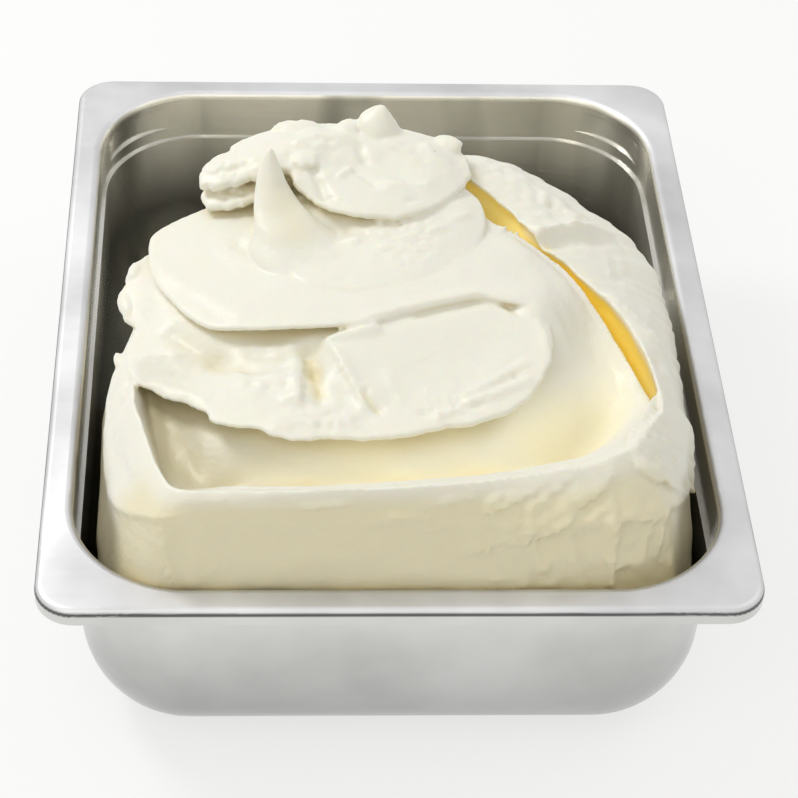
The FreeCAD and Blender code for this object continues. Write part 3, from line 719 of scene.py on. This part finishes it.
# x, y, rise, half sizes along x, y, z, turn about z
lumps = [
    (-16, 40, 62.5, 6, 5, 3.4, 20), (-36, 40, 61.5, 11, 5, 4, 0), (-30, 34, 63, 8, 5, 3, 0),
    (-34, 20, 63, 6, 6, 2.6, 0), (24, 38, 56.5, 6, 5, 3, -30), (-103, -26, 26, 3.5, 8, 3.6, 10),
    (-100, -11, 30, 3, 6, 3.2, -15), (-105, -55, 22, 2, 5, 2.4, 15),
]


def makeHorn(name, line):
    rows = np.array(line, float)

    def place(bearing, share):
        rings = [alongRows(rows, share, np.full(len(share), k)) for k in range(5)]
        closing = np.minimum(share * 12, 1)
        x = rings[0] + rings[3] * closing * np.cos(np.radians(bearing))
        y = rings[1] + rings[4] * closing * np.sin(np.radians(bearing))
        return np.column_stack((x, y, rings[2] + rimTop))

    return wrappedGrid(name, *gridSizes["horn"], place)


def makeLump(name, x, y, rise, along, across, tall, turn):
    def place(bearing, share):
        a = np.radians(bearing)
        flat = np.cos(math.pi * (share - 0.5))
        rough = 1 + 0.22 * wander(bearing, x * 0.37 + y, 3)
        px, py = along * flat * np.cos(a) * rough, across * flat * np.sin(a) * rough
        c, s = math.cos(math.radians(turn)), math.sin(math.radians(turn))
        z = rimTop + rise + tall * np.sin(math.pi * (share - 0.5))
        return np.column_stack((x + px * c - py * s, y + px * s + py * c, z))

    return wrappedGrid(name, *gridSizes["lump"], place)


gelatoFinish = {
    "voxel": 0.75,    # mm
    "smooth": 2,    # turns
    "grain": 0.35,    # mm either way
    "grainSize": 14,    # mm
    "grainDepth": 3,    # finer waves in it
    "faces": 196000,    # at most
}


def makeGelato():
    pieces = [makeBlock(), makeLayer(tongue), makeLayer(swoosh, plateauHeights())]
    pieces += [makeLayer(values) for values in (tier, cap, flapUpper, flapLower, corner)]
    pieces += [makeHorn("peak", peak["line"]), makeHorn("knob", knob["line"])]
    pieces += [makeLump("lump", *values) for values in lumps]
    print("gelato layers made")
    clearSelection()
    for piece in pieces:
        piece.select_set(True)
    gelato = pieces[0]
    bpy.context.view_layer.objects.active = gelato
    bpy.ops.object.join()
    gelato.name = "gelatoMound"
    remesh = gelato.modifiers.new("remesh", "REMESH")
    remesh.mode = "VOXEL"
    remesh.voxel_size = gelatoFinish["voxel"] * mm
    soften = gelato.modifiers.new("soften", "SMOOTH")
    soften.factor = 0.5
    soften.iterations = gelatoFinish["smooth"]
    texture = bpy.data.textures.new("grain", "CLOUDS")
    texture.noise_scale = gelatoFinish["grainSize"] * mm
    texture.noise_depth = gelatoFinish["grainDepth"]
    grain = gelato.modifiers.new("grain", "DISPLACE")
    grain.texture = texture
    grain.strength = gelatoFinish["grain"] * 2 * mm
    grain.mid_level = 0.5
    applyAll(gelato)
    triangles = sum(len(face.vertices) - 2 for face in gelato.data.polygons)
    if triangles > gelatoFinish["faces"]:
        thin = gelato.modifiers.new("thin", "DECIMATE")
        thin.ratio = gelatoFinish["faces"] / triangles
        applyAll(gelato)
    bpy.ops.object.shade_smooth()
    print("gelato fused:", triangles, "->", len(gelato.data.polygons))
    return gelato


paintedLight = {
    # painted bounce light: the slot's gold share, by bearing
    "bounceGold": [(0, 1), (10, 1), (40, 0.75), (60, 0.55), (322, 0.25), (333, 0.55), (345, 0.9)],    # by bearing
    # painted shade in hollows, under the swoosh's lip and at the peak's foot: both ends x, y, x, y, half
    # width, share
    "tongueDents": [(-33, -72, -30, -90, 3.2, 1.0), (-13, -92, -9, -98, 1.6, 0.5)],
    "tongueFolds": [(-82, -54, -68, -66, 6, 0.25), (-68, -66, -54, -77, 6, 0.25)],
    "peakFoot": [(-38, -14, -41, -4, 11, 0.42)],
    # painted shade: warm shade on the front wall
    "frontWall": 0.8,    # share of the warm colour there
    # painted deep shade at the trough's left end
    "troughShade": 0.5,    # share of the gaps' colour at the trough's left end
}


def paintGelato(gelato):
    # point values for the material: painted bounce light as gold in the slot, painted glow in the trough,
    # painted warm shade there and on the front wall, painted deep shade in the narrow gaps beside the mound
    mesh = gelato.data
    co = np.empty(len(mesh.vertices) * 3)
    mesh.vertices.foreach_get("co", co)
    x, y, z = (co.reshape(-1, 3) / mm).T
    rise = z - rimTop
    cx, cy = block["centre"]
    bearing = np.degrees(np.arctan2(y - cy, x - cx)) % 360
    reach = np.hypot(x - cx, y - cy)
    lip, lipRise = blockLine("crest", bearing)
    ribbon, ribbonRise = blockLine("ribbonEdge", bearing)
    inSlot = blend(slotDepth(bearing) / 6) * blend((lip + 5 - reach) / 3) * blend((reach - ribbon + 1.5) / 3)
    # painted bounce light: gold in the slot
    bounceGold = inSlot * blend((np.minimum(lipRise, ribbonRise + 3) - rise) / 5)
    bounceGold = bounceGold * byBearing(paintedLight["bounceGold"], bearing)

    front = blend((10 - y) / 30)
    glow = blend((34 - rise) / 14) * blend((lip - reach) / 3) * blend((rise + 5) / 10) * (1 - inSlot)
    glow = glow * blend((x + 75) / 75) * (1 - 0.4 * blend((x - 40) / 40)) * front

    # painted deep shade in the narrow gaps beside the mound and at the trough's left end
    closed = blend((np.abs(x) - 100) / 6) * blend((np.where(x > 0, 20, 14) - rise) / 14)
    shaded = blend((lip - reach) / 4) * blend((34 - rise) / 12) * (1 - blend((x + 88) / 62)) * (y < -60)
    closed = np.maximum(closed, paintedLight["troughShade"] * shaded)

    # painted warm shade and bounce light in the trough; painted shade on the front wall, in hollows and
    # under lips
    trough = front * blend((30 - rise) / 14) * blend((lip - reach) / 4) * blend((rise + 5) / 10)
    wall = blend((reach - lip + 1) / 3) * blend((lipRise - rise) / 8) * blend((-y - 112) / 22)
    dent = blobs(x, y, paintedLight["tongueDents"]) * blend((rise - 30) / 4)
    dent = dent + blobs(x, y, paintedLight["peakFoot"]) * blend((rise - 50) / 3) * blend((72 - rise) / 8)
    fold = blobs(x, y, paintedLight["tongueFolds"]) * blend((39 - rise) / 4)
    dent = dent + fold * blend((rise - 28) / 2)
    warmShade = np.clip(np.maximum(np.maximum(trough, wall * paintedLight["frontWall"]), dent), 0, 1)
    for name, value in (("bounceGold", bounceGold), ("glow", glow), ("warmShade", warmShade), ("closed", closed)):
        layer = mesh.attributes.new(name, "FLOAT", "POINT")
        layer.data.foreach_set("value", value.astype(np.float32))


def newMaterial(name):
    material = bpy.data.materials.new(name)
    material.use_nodes = True
    return material, material.node_tree, material.node_tree.nodes["Principled BSDF"]


def feed(tree, socket, value):
    # a number or a colour is set on the socket, an output is linked to it
    if isinstance(value, (int, float, tuple)):
        socket.default_value = value
    else:
        tree.links.new(value, socket)


def mixColours(tree, amount, first, second):
    mix = tree.nodes.new("ShaderNodeMix")
    mix.data_type = "RGBA"
    feed(tree, mix.inputs[0], amount)
    feed(tree, mix.inputs[6], first)
    feed(tree, mix.inputs[7], second)
    return mix.outputs[2]


def calculate(tree, operation, *values):
    node = tree.nodes.new("ShaderNodeMath")
    node.operation = operation
    for socket, value in zip(node.inputs, values):
        feed(tree, socket, value)
    return node.outputs[0]


def mapRange(tree, value, start, end=(0.0, 1.0)):
    # start (low, high) turned into end (low, high), and no further
    node = tree.nodes.new("ShaderNodeMapRange")
    tree.links.new(value, node.inputs[0])
    for k, number in enumerate(start + end):
        node.inputs[k + 1].default_value = number
    return node.outputs[0]


def noiseAt(tree, place, scale, detail, stretch=(1, 1, 1)):
    mapping = tree.nodes.new("ShaderNodeMapping")
    mapping.inputs["Scale"].default_value = stretch
    tree.links.new(place, mapping.inputs["Vector"])
    node = tree.nodes.new("ShaderNodeTexNoise")
    node.inputs["Scale"].default_value = scale
    node.inputs["Detail"].default_value = detail
    tree.links.new(mapping.outputs[0], node.inputs["Vector"])
    return node.outputs["Fac"]


def pointValue(tree, name):
    node = tree.nodes.new("ShaderNodeAttribute")
    node.attribute_name = name
    return node.outputs["Fac"]


def openness(tree, reach):
    # 1 on an open face, less where other faces are nearer than reach
    node = tree.nodes.new("ShaderNodeAmbientOcclusion")
    node.samples = 6
    node.inputs["Distance"].default_value = reach
    return node.outputs["AO"]


def axes(tree, vector):
    split = tree.nodes.new("ShaderNodeSeparateXYZ")
    tree.links.new(vector, split.inputs[0])
    return split.outputs


def addBump(tree, shader, height, values):
    bump = tree.nodes.new("ShaderNodeBump")
    bump.inputs["Strength"].default_value = values["bump"]
    bump.inputs["Distance"].default_value = values["bumpDepth"]
    tree.links.new(height, bump.inputs["Height"])
    tree.links.new(bump.outputs["Normal"], shader.inputs["Normal"])


cream = {
    "lit": (0.885, 0.875, 0.80, 1),
    # painted warm shade and bounce light
    "warmShade": (0.84, 0.77, 0.535, 1),
    # painted shade in crevices
    "creviceShade": (0.72, 0.63, 0.38, 1),
    # painted deep shade in narrow gaps
    "closed": (0.42, 0.38, 0.27, 1),
    # painted bounce light in the slot
    "bounceGold": (0.87, 0.72, 0.20, 1),
    "noGlow": (0.0, 0.0, 0.0, 1),
    "goldGlow": (0.15, 0.105, 0.006, 1),    # light that comes through, here and in the trough
    "troughGlow": (0.20, 0.18, 0.105, 1),
    "creviceShadeReach": 0.012,    # metres
    "creviceShadeOpenness": (0.2, 0.85),
    "creviceShadeShare": (0.7, 0.0),
    "roughness": 0.36,
    "specular": 0.35,
    "scatter": 0.35,
    "scatterRadius": (1.0, 0.7, 0.35),
    "scatterScale": 0.003,
    "fineScale": 420,
    "fineShare": 0.4,
    "smearScale": 110,
    "smearStretch": (0.6, 1, 2.2),
    "bump": 0.16,
    "bumpDepth": 0.003,
}


def gelatoMaterial():
    material, tree, shader = newMaterial("sweetCream")
    place = tree.nodes.new("ShaderNodeTexCoord").outputs["Object"]
    bounceGold = pointValue(tree, "bounceGold")
    # painted shade in crevices, from the ambient occlusion
    gap = openness(tree, cream["creviceShadeReach"])
    shut = mapRange(tree, gap, cream["creviceShadeOpenness"], cream["creviceShadeShare"])
    # painted warm shade and bounce light
    base = mixColours(tree, pointValue(tree, "warmShade"), cream["lit"], cream["warmShade"])
    base = mixColours(tree, shut, base, cream["creviceShade"])
    # painted bounce light in the slot
    base = mixColours(tree, bounceGold, base, cream["bounceGold"])
    # painted deep shade in the gaps
    base = mixColours(tree, pointValue(tree, "closed"), base, cream["closed"])
    tree.links.new(base, shader.inputs["Base Color"])
    through = mixColours(tree, pointValue(tree, "glow"), cream["noGlow"], cream["troughGlow"])
    through = mixColours(tree, bounceGold, through, cream["goldGlow"])
    tree.links.new(through, shader.inputs["Emission Color"])
    shader.inputs["Emission Strength"].default_value = 1
    shader.inputs["Roughness"].default_value = cream["roughness"]
    shader.inputs["Specular IOR Level"].default_value = cream["specular"]
    shader.inputs["Subsurface Weight"].default_value = cream["scatter"]
    shader.inputs["Subsurface Radius"].default_value = cream["scatterRadius"]
    shader.inputs["Subsurface Scale"].default_value = cream["scatterScale"]
    fine = noiseAt(tree, place, cream["fineScale"], 4.0)
    smear = noiseAt(tree, place, cream["smearScale"], 4.0, cream["smearStretch"])
    addBump(tree, shader, calculate(tree, "MULTIPLY_ADD", fine, cream["fineShare"], smear), cream)
    return material


steelLook = {
    # painted shade and dark reflection: the foot darker than the wall
    "footShadeDull": (0.30, 0.30, 0.295, 1),
    "footShadeBright": (0.41, 0.41, 0.405, 1),
    "wallDull": (0.60, 0.60, 0.59, 1),
    "wallBright": (0.74, 0.74, 0.73, 1),
    "flangeDull": (0.52, 0.52, 0.525, 1),
    "flangeBright": (0.72, 0.72, 0.725, 1),
    # painted shade in narrow gaps below the flange
    "closed": (0.07, 0.065, 0.05, 1),
    # painted reflection of the cream inside, and painted shade lower down
    "inside": (0.90, 0.87, 0.77, 1),
    "insideDark": (0.19, 0.185, 0.155, 1),
    # painted shade and dark reflection at the fold
    "edge": (0.03, 0.03, 0.03, 1),
    # heights, in metres, over which a look comes in
    "wallRise": (0.01, 0.08),
    "flangeRise": (0.0965, 0.0985),
    "closedRise": (0.06, 0.096),
    "edgeRise": (0.092, 0.094),
    "insideRise": (0.04, 0.08),
    "closedReach": 0.06,
    "closedOpenness": (0.05, 0.40),
    "closedShare": (0.95, 0.0),
    # how far up the faces look where the sheet turns over
    "foldShadeStart": (0.1, 0.25),
    "foldShadeEnd": (0.45, 0.65),
    "foldShadeShare": (0.0, 0.85),
    "blotches": (0.3, 0.7),
    "reflectionStreaks": (0.33, 0.47),
    "roughness": (0.16, 0.26),
    "flangeRough": 0.30,    # more than the walls
    "metallic": (1.0, 0.7),    # outside, inside
    "inward": (-0.06, -0.02),
    "blotchScale": 18,
    "reflectionStreakScale": 17,
    "reflectionStreakStretch": (1, 1, 0.25),
    "scratchScale": 55,
    "scratchStretch": (0.25, 0.25, 14),
    "hairScale": 240,
    "hairStretch": (0.12, 1, 1),
    "scratchShare": 0.6,
    "bump": 0.22,
    "bumpDepth": 0.0004,
}


def steelMaterial():
    material, tree, shader = newMaterial("satinSteel")
    place = tree.nodes.new("ShaderNodeTexCoord").outputs["Object"]
    facing = tree.nodes.new("ShaderNodeNewGeometry").outputs["Normal"]
    up = axes(tree, place)["Z"]
    slope = axes(tree, facing)["Z"]
    blotch = noiseAt(tree, place, steelLook["blotchScale"], 4.0)
    scratch = noiseAt(tree, place, steelLook["scratchScale"], 5.0, steelLook["scratchStretch"])
    hair = noiseAt(tree, place, steelLook["hairScale"], 3.0, steelLook["hairStretch"])
    flange = mapRange(tree, up, steelLook["flangeRise"])
    tone = mapRange(tree, blotch, steelLook["blotches"])

    # body from foot to flange, with painted shade and dark reflection at the foot
    low = mixColours(tree, tone, steelLook["footShadeDull"], steelLook["footShadeBright"])
    high = mixColours(tree, tone, steelLook["wallDull"], steelLook["wallBright"])
    wall = mixColours(tree, mapRange(tree, up, steelLook["wallRise"]), low, high)
    top = mixColours(tree, tone, steelLook["flangeDull"], steelLook["flangeBright"])
    base = mixColours(tree, flange, wall, top)

    # painted shade in narrow gaps below the flange
    gap = openness(tree, steelLook["closedReach"])
    shut = calculate(tree, "MULTIPLY", mapRange(tree, gap, steelLook["closedOpenness"], (1.0, 0.0)),
                     mapRange(tree, up, steelLook["closedRise"], steelLook["closedShare"]))
    base = mixColours(tree, shut, base, steelLook["closed"])

    # painted dark line for the shade and dark reflection where the sheet turns over at the flange
    turned = calculate(tree, "MULTIPLY", mapRange(tree, slope, steelLook["foldShadeStart"]),
                       mapRange(tree, slope, steelLook["foldShadeEnd"], (1.0, 0.0)))
    line = calculate(tree, "MULTIPLY", turned,
                     mapRange(tree, up, steelLook["edgeRise"], steelLook["foldShadeShare"]))
    base = mixColours(tree, line, base, steelLook["edge"])

    # inside, where faces look towards the middle: painted reflection of the cream with dark streaks, and
    # painted shade lower down
    inward = tree.nodes.new("ShaderNodeVectorMath")
    inward.operation = "DOT_PRODUCT"
    tree.links.new(facing, inward.inputs[0])
    tree.links.new(place, inward.inputs[1])
    inner = mapRange(tree, inward.outputs["Value"], steelLook["inward"], (1.0, 0.0))
    reflectionStreak = noiseAt(tree, place, steelLook["reflectionStreakScale"], 2.0, steelLook["reflectionStreakStretch"])
    reflectionStreak = mapRange(tree, reflectionStreak, steelLook["reflectionStreaks"])
    inside = mixColours(tree, reflectionStreak, steelLook["insideDark"], steelLook["inside"])
    inside = mixColours(tree, mapRange(tree, up, steelLook["insideRise"]), steelLook["insideDark"], inside)
    base = mixColours(tree, inner, base, inside)

    tree.links.new(base, shader.inputs["Base Color"])
    metallic = mapRange(tree, inner, (0.0, 1.0), steelLook["metallic"])
    tree.links.new(metallic, shader.inputs["Metallic"])
    rough = mapRange(tree, blotch, steelLook["blotches"], steelLook["roughness"])
    rough = calculate(tree, "MULTIPLY_ADD", flange, steelLook["flangeRough"], rough)
    tree.links.new(rough, shader.inputs["Roughness"])
    height = calculate(tree, "MULTIPLY_ADD", scratch, steelLook["scratchShare"], hair)
    addBump(tree, shader, height, steelLook)
    return material


room = {
    "white": (1, 1, 1, 1),
    "light": (0.54, 0.53, 0.485, 1),    # from all round
    "floorSize": 6,
    "floorColour": (0.95, 0.95, 0.95, 1),
    "floorRoughness": 0.9,
    "floorWhite": 0.72,    # share of plain white that the floor shows
    # name, place, size, power, colour
    "lamps": [
        ("key", (-0.72, 0.42, 1.1), 0.4, 6.3, (1, 1, 1)),
        ("side", (0.85, 0.15, 1.1), 0.8, 1.7, (1, 1, 1)),
        ("fill", (-0.42, -0.75, 1.1), 0.6, 2.3, (1, 0.97, 0.88)),
    ],
    "lampsLookAt": (0, 0, 0.1),
}


def addLamp(name, place, size, power, colour):
    data = bpy.data.lights.new(name, "AREA")
    data.size = size
    data.energy = power
    data.color = colour
    lamp = bpy.data.objects.new(name, data)
    bpy.context.scene.collection.objects.link(lamp)
    spot = Vector(place)
    lamp.location = spot
    lamp.rotation_euler = (Vector(room["lampsLookAt"]) - spot).to_track_quat("-Z", "Y").to_euler()


def plainRays(tree):
    # 1 for camera, glossy and transmission rays
    rays = tree.nodes.new("ShaderNodeLightPath").outputs
    most = calculate(tree, "MAXIMUM", rays["Is Camera Ray"], rays["Is Glossy Ray"])
    return calculate(tree, "MAXIMUM", most, rays["Is Transmission Ray"])


def addRoom():
    world = bpy.data.worlds.new("room")
    bpy.context.scene.world = world
    world.use_nodes = True
    tree = world.node_tree
    back = tree.nodes["Background"]
    tree.links.new(mixColours(tree, plainRays(tree), room["light"], room["white"]), back.inputs["Color"])
    back.inputs["Strength"].default_value = 1
    clearSelection()
    bpy.ops.mesh.primitive_plane_add(size=room["floorSize"], location=(0, 0, 0))
    floor = bpy.context.object
    floor.name = "floor"
    material, tree, shader = newMaterial("floorWhite")
    shader.inputs["Base Color"].default_value = room["floorColour"]
    shader.inputs["Roughness"].default_value = room["floorRoughness"]
    plain = tree.nodes.new("ShaderNodeEmission")
    mix = tree.nodes.new("ShaderNodeMixShader")
    tree.links.new(mapRange(tree, plainRays(tree), (0.0, 1.0), (0.0, room["floorWhite"])), mix.inputs[0])
    tree.links.new(shader.outputs[0], mix.inputs[1])
    tree.links.new(plain.outputs[0], mix.inputs[2])
    tree.links.new(mix.outputs[0], tree.nodes["Material Output"].inputs["Surface"])
    floor.data.materials.append(material)
    for lamp in room["lamps"]:
        addLamp(*lamp)
    bpy.context.scene.view_settings.view_transform = "Standard"


addCamera(camera)
gelato = makeGelato()
paintGelato(gelato)
gelato.data.materials.append(gelatoMaterial())
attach(gelato, "root")
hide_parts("gelato")
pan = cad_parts["pan"]
steel = steelMaterial()
if not pan.material_slots:
    pan.data.materials.append(steel)
for holder in pan.material_slots:
    holder.material = steel
addRoom()
print("room and materials made")
